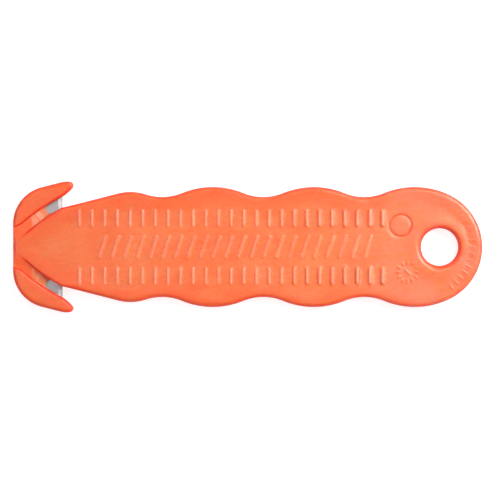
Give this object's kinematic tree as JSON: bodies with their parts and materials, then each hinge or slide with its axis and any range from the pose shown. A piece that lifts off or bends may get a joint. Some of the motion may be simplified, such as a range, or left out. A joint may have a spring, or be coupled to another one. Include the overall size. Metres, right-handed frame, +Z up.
{
  "type": "hooked safety cutter",
  "caption": "Flat palm-length safety cutter with a scalloped, ribbed grip, a hanging hole and a T-shaped head whose two hooks guard a recessed cross blade.",
  "frame": {"origin": "middle of the footprint at the level the cutter rests on, under its centre", "axes": "+X along the cutter from the flat nose to the hanging hole, +Z up through the front face, +Y across it"},
  "size_m": [0.118, 0.033, 0.0054],
  "materials": {
    "handle_plastic": "moulded, soft sheen",
    "blade_steel": "ground flanks, honed bevel"
  },
  "bodies": {
    "root": {"front_shell": "handle_plastic", "back_shell": "handle_plastic", "blade": "blade_steel"}
  },
  "joints": []
}
